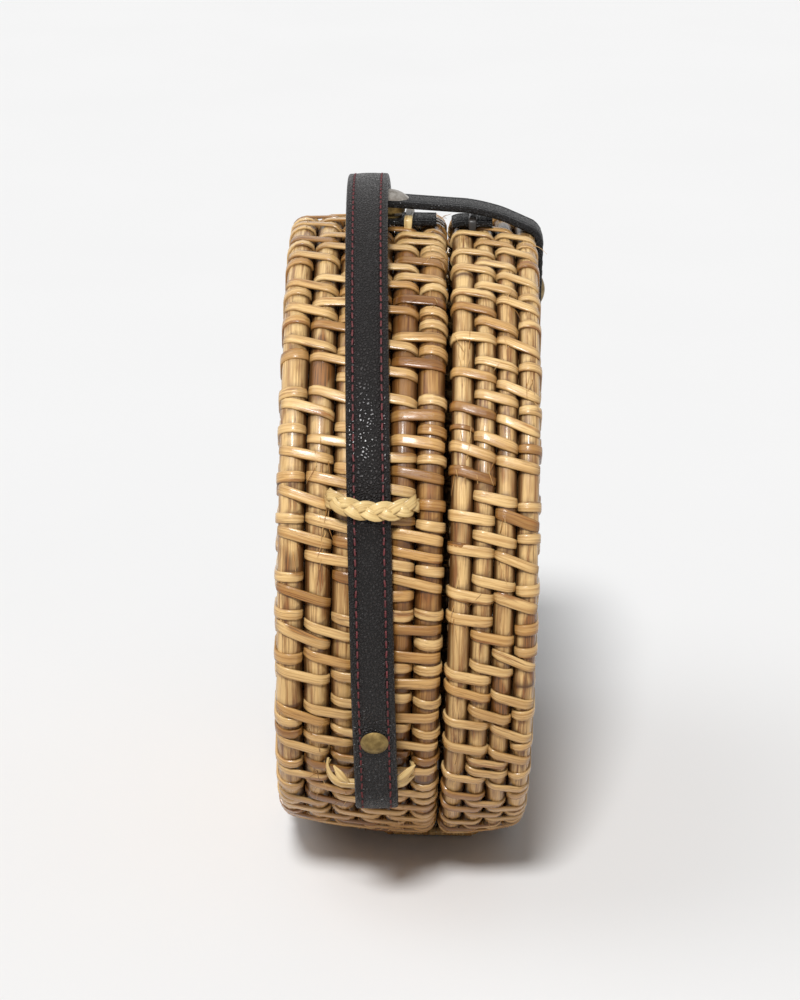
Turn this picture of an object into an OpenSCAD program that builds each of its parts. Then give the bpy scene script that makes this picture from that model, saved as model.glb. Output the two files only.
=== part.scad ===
// Round rattan sling bag: two coiled-cane shells, hinged with lashed loops at the bottom and
// closed with a leather snap strap at the top, carried on a leather sling strap.
// Millimetres. The bag stands on its hinge loops, +Z up, with the lid towards +X.

/* [Basket] */
// Diameter of the bag over the binding
bag_d = 200; // [180:1:240]
// Thickness of the binding strips
wrap_t = 1; // [0.8:0.1:1.4]
// Width of the binding strips
wrap_w = 4; // [3:0.1:4.6]
// Binding strips in one turn of cane
wrap_count = 46; // [36:1:48]
// Slope of the binding strips across the canes, in degrees
wrap_slant = 17; // [5:1:18]

/* [Body shell] */
// Diameter of the body's cane
body_cane_d = 8.2; // [7.8:0.1:9]
// How far two turns of the body's cane press into each other
body_lap = 0.2; // [0.1:0.05:0.7]
// Canes in the depth of the body
body_canes = 6; // [5:1:7]

/* [Lid shell] */
// Diameter of the lid's cane
lid_cane_d = 6.8; // [6.6:0.1:7.4]
// How far two turns of the lid's cane press into each other
lid_lap = 0.4; // [0.1:0.05:0.7]
// Canes in the depth of the lid
lid_canes = 4; // [3:1:5]
// Open gap between the canes of the two shells
shell_gap = 1.8; // [1.6:0.1:4]

/* [Hinge] */
// Angle of each hinge loop from the lowest point, in degrees
loop_angle = 12; // [10:0.5:14]
// Width of a hinge loop round the rim
loop_w = 9; // [6:0.5:10]
// Thickness of a hinge loop under the canes
loop_t = 3.4; // [3.2:0.1:5]
// Depth of the flat that each loop stands on
foot_cut = 0.4; // [0.2:0.05:0.6]

/* [Straps] */
// Width of the sling strap
strap_w = 12.7; // [10:0.1:14]
// Thickness of the sling strap
strap_t = 2.4; // [1.6:0.1:2.5]
// Width of the closure strap and its tabs
closure_w = 12.7; // [11:0.1:16]
// Thickness of the closure strap
closure_t = 2.2; // [1.8:0.1:2.6]
// Thickness of the two tabs under the closure
tab_t = 1.6; // [1.2:0.1:1.8]
// Diameter of the rivet caps
rivet_d = 8.2; // [7:0.1:9]
// Diameter of the snap's cap
snap_d = 12; // [9:0.1:12.5]

/* [Hidden] */

// Clearances between pieces
lay = 0.2;        // what lies on something else
slip = 0.3;       // what moves past something else
hole_slip = 0.1;  // a post in its hole

// Canes: the radius of a turn's centre line, and the place of each turn across the bag
body_r = body_cane_d / 2;
lid_r = lid_cane_d / 2;
body_pitch = body_cane_d - body_lap;
lid_pitch = lid_cane_d - lid_lap;
wrap_lift = 0.5;  // height of a strip's inner face over the cane
body_turn = bag_d / 2 - wrap_t - wrap_lift - body_r;
lid_turn = bag_d / 2 - wrap_t - wrap_lift - lid_r;
body_depth = (body_canes - 1) * body_pitch + body_cane_d;
lid_depth = (lid_canes - 1) * lid_pitch + lid_cane_d;
shell_w = body_depth + shell_gap + lid_depth;
gap_x = body_depth + shell_gap / 2 - shell_w / 2;
function body_x(i) = -shell_w / 2 + body_r + i * body_pitch;
function lid_x(i) = gap_x + shell_gap / 2 + lid_r + i * lid_pitch;
function face_rings(turn, r, pitch) = floor((turn - r - 0.5) / pitch);
rim_r = bag_d / 2;

// Hinge loops
loop_in = max(body_turn + body_r, lid_turn + lid_r) + slip;
loop_out = loop_in + loop_t;
loop_inner = min(body_turn - body_r, lid_turn - lid_r) - slip;
loop_inside_t = 2.4;
loop_leg_t = 2.4;
loop_x0 = (body_x(body_canes - 3) + body_x(body_canes - 2)) / 2;
loop_x1 = (lid_x(1) + lid_x(2)) / 2;
loop_corner_angle = atan(loop_w / 2 / loop_out);
foot_z = norm([loop_out, loop_w / 2]) * cos(loop_angle - loop_corner_angle) - foot_cut;

// Strap hardware, on the rim at these angles from the top towards the left side
keeper_angle = 67.5;
anchor_angle = 117.6;
rivet_angle = 107;
valley_x0 = (body_x(1) + body_x(2)) / 2;
valley_x1 = (body_x(4) + body_x(5)) / 2;
strap_x = (valley_x0 + valley_x1) / 2;
strap_lean = 2.3;   // how far the strap's top leans towards the body's face, in degrees
strap_over = 1.9;   // height of the strap's centre line over the binding
strap_back = 3.2;   // the same at the rivet, for the folded end that lies inside
strap_front = 6.2;  // and for the layer that lies outside
rivet_lift = 0.5;   // room between the strap and the rivet's cap
rivet_base_t = 1;
keeper_t = 2.2;
keeper_w = 6;
anchor_d = 3;
anchor_over = 5.6;  // height of the anchor's bar over the binding

// Closure stack over the top of the rim, as heights over the hub
tab_z = rim_r + lay;
tab_top = tab_z + tab_t;
snap_x = -7.5;
tab_reach = 13;                 // how far the body's tab runs back before its rounded end
tab_edge = 1;                   // how far it runs past the middle of the last cane
flap_end_x = -20.8;
flap_end_rise = 5.7;            // height of the flap's centre line over the tabs at its free end
closure_z = tab_top + flap_end_rise;
bend_past = 1.1;                // where the leather bends as the flap lifts, past the lid's first cane
bend_rise = 3.7;
bend_room = 0.7;                // room for the flap to fold back at its bend
bend_x = lid_x(0) + bend_past;
bend_z = tab_top + bend_rise;
tab_corner = lid_r + wrap_lift + wrap_t + lay + tab_t / 2;
lid_tab_end = lid_x(1) + 2.7;
root_corner = lid_r + lay + closure_t / 2;
face_drop = 24;                 // how far the closure runs down the lid's face
closure_in = 1;                 // how far in front of the last cane it comes down on the binding
corner_x = lid_x(lid_canes - 1);
root_line = [[bend_x, bend_z], [bend_x + 4, bend_z - 0.6], [bend_x + 8, bend_z - 1.5],
             [bend_x + 12, bend_z - 2.7]];

flap_slope = atan((closure_z - bend_z) / (bend_x - flap_end_x));
flap_len = norm([bend_x - flap_end_x, closure_z - bend_z]);
snap_along = (bend_x - snap_x) / cos(flap_slope);
snap_h = 2.2;
socket_h = 1.9;
socket_bore = 4.6;
stud_d = 4;
post_d = 3;
closure_rivet_end = 8;          // from the closure's fixed end to its rivet
closure_rivet_z = lid_turn - face_drop + closure_rivet_end;

closure_cap_h = 1.2;

// Ties that hold the tabs down, in the valleys between canes
tie_w = 2.6;
tie_t = 0.9;
body_tie_x = [(body_x(2) + body_x(3)) / 2, (body_x(4) + body_x(5)) / 2];
lid_tie_x = [(lid_x(0) + lid_x(1)) / 2];
// Lowest place for something of width w standing in a valley between two canes
function valley_floor(turn, r, pitch, w) =
    turn + sqrt(pow(r + lay, 2) - pow(max(0.1, pitch / 2 - w / 2), 2)) + 0.1;

// Binding strips: the height of a strip's inner corner over a cane's centre
function strip_q(r) = (r + wrap_lift) / cos(15);
// Angles of a strip's inner and outer corner at the end that it tucks into a valley
function tuck(r, pitch) = [for (q = [strip_q(r), strip_q(r) + wrap_t]) acos((pitch / 2 - lay) / q)];
// A strip's section from its corners: [centre across, centre outwards, angle inside, angle outside]
function strip_outline(c, r) = concat(
    [for (p = c) [p[0], p[1]] + strip_q(r) * [cos(p[2]), sin(p[2])]],
    [for (i = [len(c) - 1:-1:0]) [c[i][0], c[i][1]]
        + (strip_q(r) + wrap_t) * [cos(c[i][3]), sin(c[i][3])]]);
wrap_step = 360 / wrap_count;
function slant_step(pitch) = pitch * tan(wrap_slant) / rim_r * 180 / PI;

// Places where strips are left out for what stands in the valleys: [angle, half width, x]
function deg(mm) = mm / rim_r * 180 / PI;
tie_angle = deg(closure_w / 2 + lay + tie_t / 2);
clear_of = concat(
    [for (a = [-keeper_angle, keeper_angle], x = [valley_x0, valley_x1]) [a, keeper_w / 2, x]],
    [for (a = [-anchor_angle, anchor_angle], x = [valley_x0, valley_x1]) [a, anchor_d / 2, x]],
    [for (a = [-tie_angle, tie_angle], x = concat(body_tie_x, lid_tie_x)) [a, tie_t / 2, x]],
    [for (x = [corner_x - closure_in, corner_x + lid_r / 2]) [0, closure_w / 2, x]],
    [for (a = [-loop_angle, loop_angle], s = [0:0.125:1])
        [180 + a, loop_w / 2, loop_x0 + s * (loop_x1 - loop_x0)]]);
function turned(a) = a - 360 * round(a / 360);
// Whether a strip centred at mid that runs from x0 to x1 clears them all
function strip_kept(a, mid, x0, x1, slant) =
    len([for (z = clear_of)
        if (z[2] > x0 - 1.6 && z[2] < x1 + 1.6
            && abs(turned(a + deg((z[2] - mid) * tan(slant)) - z[0]))
               < deg(z[1] + wrap_w / 2 / cos(slant) + 2 * slip)) 1]) == 0;

// The whole bag's place: standing at z = 0, centred between its outermost points
rivet_cap_h = 1.8;
left_x = body_x(0) - body_r - wrap_lift - wrap_t;
right_x = corner_x + root_corner + closure_t / 2 + closure_cap_h;
hub = [-(left_x + right_x) / 2, 0, foot_z];

// Route of the sling strap's centre line round the hub, from its left end to its right end.
// On the rim a point is [angle from the top towards the left, height over the binding].
strap_left = [
    [102.5, strap_back], [104.5, strap_back], [107, strap_back], [110, 3.1], [113, 2.9], [116, 2.6],
    [118.5, 2.5], [121, 3.2], [122.4, 5.7], [121, 8.3], [118.3, 9.1], [115.5, 7.6], [112.5, 6.6],
    [110, 6.3], [107, strap_front], [104, 6.1], [101, 5.9], [97.5, 5], [93, 3.4], [88, 2.2],
    [80, strap_over], [72, strap_over], [64, strap_over], [56, strap_over], [48, 2], [40, 2.7],
    [32, 4], [24, 6], [16, 8.6], [8, 10.9], [0, 11.8], [-8, 11.6], [-16, 11]];
// Behind the bag a point is [distance behind the hub, height over the hub], for a bag 200 across.
strap_free = [
    [50, 100.5], [68, 93], [86, 85.5], [104, 76], [122, 62], [138, 42], [150, 17], [158, -12],
    [162, -40], [163, -66], [159, -86], [148, -97], [134, -99], [122, -93], [116, -80],
    [113, -60], [111, -36], [110, -10], [109.5, 16], [108, 40], [106, 57], [100, 71], [91, 79],
    [81.5, 80.5], [75, 75.5], [78.5, 66.5]];
strap_right_from = 23;  // the right end mirrors the left one up to this point

function rim_point(p) = (rim_r + p[1]) * [-sin(p[0]), cos(p[0])];
function mirrored(p) = [-p[0], p[1]];
strap_route = concat(
    [for (p = strap_left) rim_point(p)],
    strap_free * rim_r / 100,
    [for (i = [strap_right_from:-1:0]) mirrored(rim_point(strap_left[i]))]);

// A point at share t of the smooth curve between b and c
function smooth(a, b, c, d, t) =
    0.5 * (2 * b + (c - a) * t + (2 * a - 5 * b + 4 * c - d) * t * t
           + (3 * b - a - 3 * c + d) * t * t * t);
function at(p, i) = p[max(0, min(len(p) - 1, i))];
function smoothed(p, n) = concat(
    [for (i = [0:len(p) - 2], k = [0:n - 1])
        smooth(at(p, i - 1), p[i], p[i + 1], at(p, i + 2), k / n)],
    [p[len(p) - 1]]);

// Outline of a band of even thickness along a line
function heading(p, i) = let (d = at(p, i + 1) - at(p, i - 1)) d / norm(d);
function beside(p, w) = [for (i = [0:len(p) - 1]) p[i] + w * [-heading(p, i)[1], heading(p, i)[0]]];
function reversed(p) = [for (i = [len(p) - 1:-1:0]) p[i]];
function band(p, t) = concat(beside(p, t / 2), reversed(beside(p, -t / 2)));

// Points of an arc about a centre
function arc(c, r, a0, a1, n) =
    [for (i = [0:n]) let (a = a0 + (a1 - a0) * i / n) c + r * [cos(a), sin(a)]];

// Colours
cane = "#d9b173";
split_cane = "#cfa566";
pale_cane = "#e6d09a";
brown_leather = "#3b2c2a";
black_leather = "#2b2829";
brass = "#7d6a3c";
thread_brown = "#8a6238";

module at_hub() { translate(hub) children(); }
// A place on the rim, turned from the top towards the left side
module on_rim(a) { rotate([a, 0, 0]) children(); }
// The plane that the sling strap hangs in
module on_strap() { at_hub() translate([strap_x, 0, 0]) rotate([0, -strap_lean, 0]) children(); }
// A section drawn as across the bag by outwards, extruded round the rim and centred
module across(w) { rotate([90, 0, 0]) translate([0, 0, -w / 2]) linear_extrude(w) children(); }

// Canes

module turn(x, r, d) {
    translate([x, 0, 0])
        rotate([0, 90, 0])
            rotate_extrude($fn = 120)
                translate([r, 0])
                    circle(d = d, $fn = 32);
}

// The flat face of a shell: turns inside the rim, with a button where the coil starts
module coiled_face(x, turn_r, r, pitch) {
    n = face_rings(turn_r, r, pitch);
    for (k = [1:n]) turn(x, turn_r - k * pitch, 2 * r);
    translate([x, 0, 0])
        rotate([0, 90, 0])
            cylinder(r = turn_r - n * pitch - r / 2, h = r, center = true, $fn = 48);
}

// Slots where the hinge loops pass between the canes
module loop_slots(x) {
    for (side = [-1, 1])
        on_rim(180 + side * loop_angle)
            translate([x - loop_leg_t / 2 - slip, -loop_w / 2 - slip, loop_inner - 5])
                cube([loop_leg_t + 2 * slip, loop_w + 2 * slip, 25]);
}

module body_coil() {
    color(cane) at_hub() difference() {
        union() {
            for (i = [0:body_canes - 1]) turn(body_x(i), body_turn, body_cane_d);
            coiled_face(body_x(0), body_turn, body_r, body_pitch);
        }
        loop_slots(loop_x0);
    }
}

module lid_coil() {
    color(cane) at_hub() difference() {
        union() {
            for (i = [0:lid_canes - 1]) turn(lid_x(i), lid_turn, lid_cane_d);
            coiled_face(lid_x(lid_canes - 1), lid_turn, lid_r, lid_pitch);
        }
        loop_slots(loop_x1);
    }
}

// Binding

// One strip over the corners in c, round the rim at angle a
module strip(c, r, a, slant) {
    on_rim(a)
        rotate([0, 0, slant])
            across(wrap_w)
                polygon(strip_outline(c, r));
}

// A turn of strips over the canes at x0 and x1, hooked round the first one where it is at a mouth
module wall_strips(x0, x1, turn_r, r, first, hooked) {
    mid = (x0 + x1) / 2;
    end = tuck(r, x1 - x0);
    hook_turn = deg((x0 - mid - 0.75 * r) * tan(wrap_slant));
    for (k = [0:wrap_count - 1]) {
        a = first + k * wrap_step;
        if (strip_kept(a, mid, x0 - r, x1 + r, wrap_slant))
            translate([mid, 0, 0]) {
                strip([[x0 - mid, turn_r, 180 - end[0], 180 - end[1]], [x0 - mid, turn_r, 105, 105],
                       [x1 - mid, turn_r, 75, 75], [x1 - mid, turn_r, end[0], end[1]]],
                      r, a, -wrap_slant);
                if (hooked)
                    strip([[x0 - mid, turn_r, 195, 195], [x0 - mid, turn_r, 150, 150],
                           [x0 - mid, turn_r, 105, 105]], r, a + hook_turn, 0);
            }
    }
}

// A turn of strips from the rim's cane round onto the face, side -1 at the back, 1 at the lid
module edge_strips(x, turn_r, r, pitch, first, side) {
    end = tuck(r, pitch);
    for (k = [0:wrap_count - 1]) {
        a = first + k * wrap_step;
        if (strip_kept(a, x, x - r, x + r, 0))
            translate([x, 0, 0])
                mirror([side > 0 ? 1 : 0, 0, 0])
                    strip([[0, turn_r - pitch, 270 - end[0], 270 - end[1]], [0, turn_r - pitch, 195, 195],
                           [0, turn_r, 165, 165], [0, turn_r, 120, 120], [0, turn_r, 75, 75],
                           [0, turn_r, end[0], end[1]]], r, a, 0);
    }
}

// A turn of strips round the body's mouth
module mouth_strips(x, turn_r, r, pitch, first) {
    end = tuck(r, pitch);
    for (k = [0:wrap_count - 1]) {
        a = first + k * wrap_step;
        if (strip_kept(a, x, x - r, x + r, 8))
            translate([x, 0, 0])
                strip([[0, turn_r, 180 - end[0], 180 - end[1]], [0, turn_r, 100, 100], [0, turn_r, 55, 55],
                       [0, turn_r, 10, 10], [0, turn_r, -35, -35]], r, a, -8);
    }
}

// Strip angles on each pair of a face's turns, from the rim inwards: each row lies between the strips
// of the row before, and takes every second place where the turns get too short
function between(p) = [for (i = [0:len(p) - 1]) (p[i] + (i + 1 < len(p) ? p[i + 1] : p[0] + 360)) / 2];
function next_row(p, r) =
    let (m = between(p), tight = PI * r / len(p) < wrap_w + 2 * slip)
    tight ? [for (i = [0:2:len(m) - 2]) m[i]] : m;
function face_rows(p, turn_r, pitch, k, n) =
    k >= n ? [] : let (row = next_row(p, turn_r - (k + 1) * pitch))
        len(row) < 4 ? [] : concat([row], face_rows(row, turn_r, pitch, k + 1, n));

// Whether a strip on a face's turns comes under the closure strap
function under_closure(a, outer, pitch) =
    outer + pitch / 2 > lid_turn - face_drop - slip
    && abs(sin(a)) * (outer - 1.5 * pitch) < closure_w / 2 + wrap_w / 2 + slip && cos(a) > 0;

module face_strips(x, turn_r, r, pitch, first, side) {
    end = tuck(r, pitch);
    rim_row = [for (k = [0:wrap_count - 1]) first + k * wrap_step];
    rows = face_rows(rim_row, turn_r, pitch, 1, face_rings(turn_r, r, pitch));
    for (k = [0:len(rows) - 1], a = rows[k]) {
        outer = turn_r - (k + 1) * pitch;
        if (side < 0 || !under_closure(a, outer, pitch))
            translate([x, 0, 0])
                mirror([side > 0 ? 1 : 0, 0, 0])
                    strip([[0, outer - pitch, 270 - end[0], 270 - end[1]], [0, outer - pitch, 195, 195],
                           [0, outer, 165, 165], [0, outer, 90 + end[0], 90 + end[1]]], r, a, 0);
    }
}

function body_first(i) = i * (wrap_step / 2 + slant_step(body_pitch));
mouth_first = body_first(body_canes - 2) + wrap_step / 2 + slant_step(body_pitch) / 2;
function lid_first(i) = mouth_first + wrap_step / 2 + slant_step(lid_pitch)
    + i * (wrap_step / 2 + slant_step(lid_pitch));

back_first = body_first(0) - wrap_step / 2 - slant_step(body_pitch) / 2;
front_first = lid_first(lid_canes - 2) + wrap_step / 2 + slant_step(lid_pitch) / 2;

module body_binding() {
    color(split_cane) at_hub() {
        edge_strips(body_x(0), body_turn, body_r, body_pitch, back_first, -1);
        face_strips(body_x(0), body_turn, body_r, body_pitch, back_first, -1);
        for (i = [0:body_canes - 2])
            wall_strips(body_x(i), body_x(i + 1), body_turn, body_r, body_first(i), false);
        mouth_strips(body_x(body_canes - 1), body_turn, body_r, body_pitch, mouth_first);
    }
}

module lid_binding() {
    color(split_cane) at_hub() {
        for (i = [0:lid_canes - 2])
            wall_strips(lid_x(i), lid_x(i + 1), lid_turn, lid_r, lid_first(i), i == 0);
        edge_strips(corner_x, lid_turn, lid_r, lid_pitch, front_first, 1);
        face_strips(corner_x, lid_turn, lid_r, lid_pitch, front_first, 1);
    }
}

// Hinge

module rounded(x0, x1, z0, z1, r) {
    translate([x0 + r, z0]) square([x1 - x0 - 2 * r, z1 - z0]);
    translate([x0, z0 + r]) square([x1 - x0, z1 - z0 - 2 * r]);
    for (x = [x0 + r, x1 - r], z = [z0 + r, z1 - r])
        translate([x, z]) circle(r = r, $fn = 32);
}

module hinge_loop(side) {
    color(pale_cane) at_hub() difference() {
        on_rim(180 + side * loop_angle)
            across(loop_w)
                difference() {
                    rounded(loop_x0 - loop_leg_t / 2, loop_x1 + loop_leg_t / 2,
                            loop_inner - loop_inside_t, loop_out, 2);
                    rounded(loop_x0 + loop_leg_t / 2, loop_x1 - loop_leg_t / 2,
                            loop_inner, loop_in, 0.6);
                }
        translate([-rim_r, -rim_r, -foot_z - 20]) cube([2 * rim_r, 2 * rim_r, 20]);
    }
}
module hinge_loop_left() { hinge_loop(-1); }
module hinge_loop_right() { hinge_loop(1); }

// Sling strap

module sling_strap() {
    color(brown_leather) on_strap() difference() {
        translate([-strap_w / 2, 0, 0])
            rotate([90, 0, 90])
                linear_extrude(strap_w)
                    polygon(band(smoothed(strap_route, 2), strap_t));
        for (side = [-1, 1])
            on_rim(side * rivet_angle)
                translate([0, 0, rim_r])
                    cylinder(d = post_d + 2 * hole_slip, h = 12, $fn = 32);
    }
}

// A domed cap, flat side down
module cap(d, h) {
    r = (d * d / 4 + h * h) / (2 * h);
    rotate_extrude($fn = 64)
        intersection() {
            translate([0, h - r]) circle(r = r, $fn = 96);
            square([d / 2, h]);
        }
}

module strap_rivet(side) {
    color(brass) on_strap() on_rim(side * rivet_angle) {
        top = rim_r + strap_front + strap_t / 2 + rivet_lift;
        foot = rim_r + strap_back - strap_t / 2 - 2 * lay - rivet_base_t;
        translate([0, 0, top]) cap(rivet_d, rivet_cap_h);
        translate([0, 0, foot]) cylinder(d = post_d, h = top - foot + 0.3, $fn = 32);
        translate([0, 0, foot]) cylinder(d = rivet_d - 2, h = rivet_base_t, $fn = 48);
    }
}
module left_strap_rivet() { strap_rivet(1); }
module right_strap_rivet() { strap_rivet(-1); }

// An arch over the strap that stands in two valleys; its section is thickness by width
module arch(x0, x1, top, foot, bend) {
    translate([x0 + bend, 0, top])
        rotate([90, 0, 90])
            linear_extrude(x1 - x0 - 2 * bend)
                rotate([0, 0, 90])
                    children();
    for (s = [0, 1])
        translate([s == 0 ? x0 : x1, 0, 0])
            mirror([s, 0, 0]) {
                translate([0, 0, foot])
                    linear_extrude(top - bend - foot)
                        children();
                translate([bend, 0, top - bend])
                    rotate([90, 0, 0])
                        rotate([0, 0, 90])
                            rotate_extrude(angle = 90, $fn = 48)
                                translate([bend, 0])
                                    children();
            }
}

module strap_keeper(side) {
    color(pale_cane) at_hub() on_rim(side * keeper_angle)
        arch(valley_x0, valley_x1, rim_r + strap_over + strap_t / 2 + slip + keeper_t / 2,
             valley_floor(body_turn, body_r, body_pitch, keeper_t), 3)
            square([keeper_t, keeper_w], center = true);
}
module left_strap_keeper() { strap_keeper(1); }
module right_strap_keeper() { strap_keeper(-1); }

module strap_anchor(side) {
    color(pale_cane) at_hub() on_rim(side * anchor_angle)
        arch(valley_x0, valley_x1, rim_r + anchor_over,
             valley_floor(body_turn, body_r, body_pitch, anchor_d), 3)
            circle(d = anchor_d, $fn = 32);
}
module left_strap_anchor() { strap_anchor(1); }
module right_strap_anchor() { strap_anchor(-1); }

// Closure

module body_tab() {
    color(black_leather) at_hub() difference() {
        translate([0, 0, tab_z])
            linear_extrude(tab_t) {
                translate([-tab_reach, -closure_w / 2])
                    square([tab_reach + body_x(body_canes - 1) + tab_edge, closure_w]);
                translate([-tab_reach, 0]) circle(d = closure_w, $fn = 64);
            }
        translate([snap_x, 0, tab_z - 1]) cylinder(d = post_d + 2 * hole_slip, h = tab_t + 2, $fn = 32);
    }
}

// A flat tie over a tab, standing in the valley at x
module tie(x, foot) {
    y = closure_w / 2 + lay;
    translate([x - tie_w / 2, 0, 0])
        rotate([90, 0, 90])
            linear_extrude(tie_w)
                difference() {
                    translate([-y - tie_t, foot]) square([2 * (y + tie_t), tab_top + lay + tie_t - foot]);
                    translate([-y, foot - 1]) square([2 * y, tab_top + lay - foot + 1]);
                }
}

module body_tab_ties() {
    color(pale_cane) at_hub()
        for (x = body_tie_x) tie(x, valley_floor(body_turn, body_r, body_pitch, tie_w));
}

module lid_tab_tie() {
    color(pale_cane) at_hub()
        for (x = lid_tie_x) tie(x, valley_floor(lid_turn, lid_r, lid_pitch, tie_w));
}

module lid_tab() {
    color(black_leather) at_hub()
        across(closure_w)
            polygon(band(concat(
                arc([lid_x(0), lid_turn], tab_corner, 122, 90, 4),
                [[lid_tab_end, lid_turn + tab_corner]]), tab_t));
}

// The fixed end of the closure strap, from the bend down the lid's face
module closure_root() {
    color(black_leather) at_hub() difference() {
        across(closure_w)
            polygon(band(concat(
                root_line,
                arc([corner_x, lid_turn], root_corner, 66, 0, 8),
                [[corner_x + root_corner, lid_turn - face_drop]]), closure_t));
        translate([bend_x, 0, bend_z])
            rotate([90, 0, 0])
                cylinder(r = closure_t / 2 + bend_room, h = closure_w + 2, center = true, $fn = 48);
        translate([corner_x, 0, closure_rivet_z])
            rotate([0, 90, 0])
                cylinder(d = post_d + 2 * hole_slip, h = 20, $fn = 32);
    }
}

module closure_rivet() {
    color(brass) at_hub() translate([corner_x + root_corner + closure_t / 2 + 0.05, 0, closure_rivet_z])
        rotate([0, 90, 0]) {
            cap(rivet_d, closure_cap_h);
            translate([0, 0, -closure_t - lay]) cylinder(d = post_d, h = closure_t + lay + 0.3, $fn = 32);
        }
}

// The lifting end of the closure strap lies back from its bend
module on_flap() { at_hub() translate([bend_x, 0, bend_z]) rotate([0, flap_slope, 0]) children(); }

module closure_flap() {
    color(black_leather) on_flap() difference() {
        union() {
            rotate([90, 0, 0]) cylinder(d = closure_t, h = closure_w, center = true, $fn = 48);
            translate([0, 0, -closure_t / 2])
                linear_extrude(closure_t) {
                    translate([closure_w / 2 - flap_len, -closure_w / 2])
                        square([flap_len - closure_w / 2, closure_w]);
                    translate([closure_w / 2 - flap_len, 0]) circle(d = closure_w, $fn = 64);
                }
        }
        translate([-snap_along, 0, -closure_t])
            cylinder(d = post_d + 2 * hole_slip, h = 2 * closure_t, $fn = 32);
    }
}

module snap_cap() {
    color(brass) on_flap() translate([-snap_along, 0, 0]) {
        translate([0, 0, closure_t / 2 + 0.05]) cap(snap_d, snap_h);
        translate([0, 0, -closure_t / 2]) cylinder(d = post_d, h = closure_t + 0.3, $fn = 32);
    }
}

module snap_socket() {
    color(brass) on_flap() translate([-snap_along, 0, -closure_t / 2 - 0.05 - socket_h])
        difference() {
            cylinder(d = snap_d - 2, h = socket_h, $fn = 64);
            translate([0, 0, -1]) cylinder(d = socket_bore, h = socket_h + 2, $fn = 48);
        }
}

module snap_stud() {
    color(brass) at_hub() translate([snap_x, 0, tab_top]) {
        translate([0, 0, -tab_t]) cylinder(d = post_d, h = tab_t + 1, $fn = 32);
        translate([0, 0, 0.05]) cylinder(d = 8, h = 0.6, $fn = 48);
        translate([0, 0, 0.5]) cylinder(d = 3.2, h = 1.2, $fn = 32);
        translate([0, 0, 1.5]) cylinder(d = stud_d, h = 1.2, $fn = 48);
    }
}

body_coil();
body_binding();
lid_coil();
lid_binding();
hinge_loop_left();
hinge_loop_right();
sling_strap();
left_strap_rivet();
right_strap_rivet();
left_strap_keeper();
right_strap_keeper();
left_strap_anchor();
right_strap_anchor();
body_tab();
body_tab_ties();
lid_tab();
lid_tab_tie();
closure_flap();
closure_root();
closure_rivet();
snap_cap();
snap_socket();
snap_stud();
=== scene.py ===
"""Looks of the round cane sling bag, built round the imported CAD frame."""

import random
from math import cos, degrees, exp, hypot, pi, radians, sin, sqrt, tan

import bpy
import numpy as np
from mathutils import Matrix, Vector


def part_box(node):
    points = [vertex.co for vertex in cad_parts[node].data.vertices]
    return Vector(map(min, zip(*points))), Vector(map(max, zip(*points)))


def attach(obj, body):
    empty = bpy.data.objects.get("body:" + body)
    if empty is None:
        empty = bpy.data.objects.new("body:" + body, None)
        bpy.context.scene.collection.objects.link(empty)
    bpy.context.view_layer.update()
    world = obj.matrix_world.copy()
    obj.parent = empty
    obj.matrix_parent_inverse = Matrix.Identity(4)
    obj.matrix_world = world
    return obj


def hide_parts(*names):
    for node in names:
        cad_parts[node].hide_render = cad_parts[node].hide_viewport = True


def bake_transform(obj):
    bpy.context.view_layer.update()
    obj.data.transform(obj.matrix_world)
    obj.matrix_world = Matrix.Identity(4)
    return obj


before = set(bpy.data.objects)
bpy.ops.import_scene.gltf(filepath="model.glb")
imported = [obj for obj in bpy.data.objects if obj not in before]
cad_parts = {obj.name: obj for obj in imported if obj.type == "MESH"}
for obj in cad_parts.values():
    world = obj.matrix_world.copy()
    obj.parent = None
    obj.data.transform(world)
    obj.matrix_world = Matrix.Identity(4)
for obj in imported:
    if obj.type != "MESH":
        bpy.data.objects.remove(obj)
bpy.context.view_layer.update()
rng = random.Random(11)

# Driving sizes shared with part.scad, in millimetres. X is counted from the middle of the two shells,
# and an angle round the rim from the top towards the left side, which the camera sees.
RIM = 100.0
BODY_CANE_D, BODY_PITCH, BODY_CANES = 8.2, 8.0, 6
LID_CANE_D, LID_PITCH, LID_CANES = 6.8, 6.4, 4
SHELL_GAP = 1.8
STRAP_W, STRAP_T, STRAP_LEAN = 12.7, 2.4, 2.3
KEEPER_A, ANCHOR_A, ANCHOR_OVER = 67.5, 117.6, 5.6
LOOP_A = 12.0
TAB_T, TAB_REACH = 1.6, 13.0
CLOSURE_W, CLOSURE_T, FACE_DROP = 12.7, 2.2, 24.0
FLAP_END = (-20.8, 107.5)

# The same places as in part.scad, worked out from them
BODY_DEPTH = (BODY_CANES - 1) * BODY_PITCH + BODY_CANE_D
LID_DEPTH = (LID_CANES - 1) * LID_PITCH + LID_CANE_D
SHELL_W = BODY_DEPTH + SHELL_GAP + LID_DEPTH
GAP_X = BODY_DEPTH + SHELL_GAP / 2 - SHELL_W / 2
BODY_X = [-SHELL_W / 2 + BODY_CANE_D / 2 + i * BODY_PITCH for i in range(BODY_CANES)]
LID_X = [GAP_X + SHELL_GAP / 2 + LID_CANE_D / 2 + i * LID_PITCH for i in range(LID_CANES)]
BODY_TURN = RIM - 1.5 - BODY_CANE_D / 2
LID_TURN = RIM - 1.5 - LID_CANE_D / 2
VALLEYS = ((BODY_X[1] + BODY_X[2]) / 2, (BODY_X[4] + BODY_X[5]) / 2)
STRAP_X = sum(VALLEYS) / 2
LOOP_X = ((BODY_X[3] + BODY_X[4]) / 2, (LID_X[1] + LID_X[2]) / 2)
BODY_TIE_X = ((BODY_X[2] + BODY_X[3]) / 2, (BODY_X[4] + BODY_X[5]) / 2)
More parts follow.
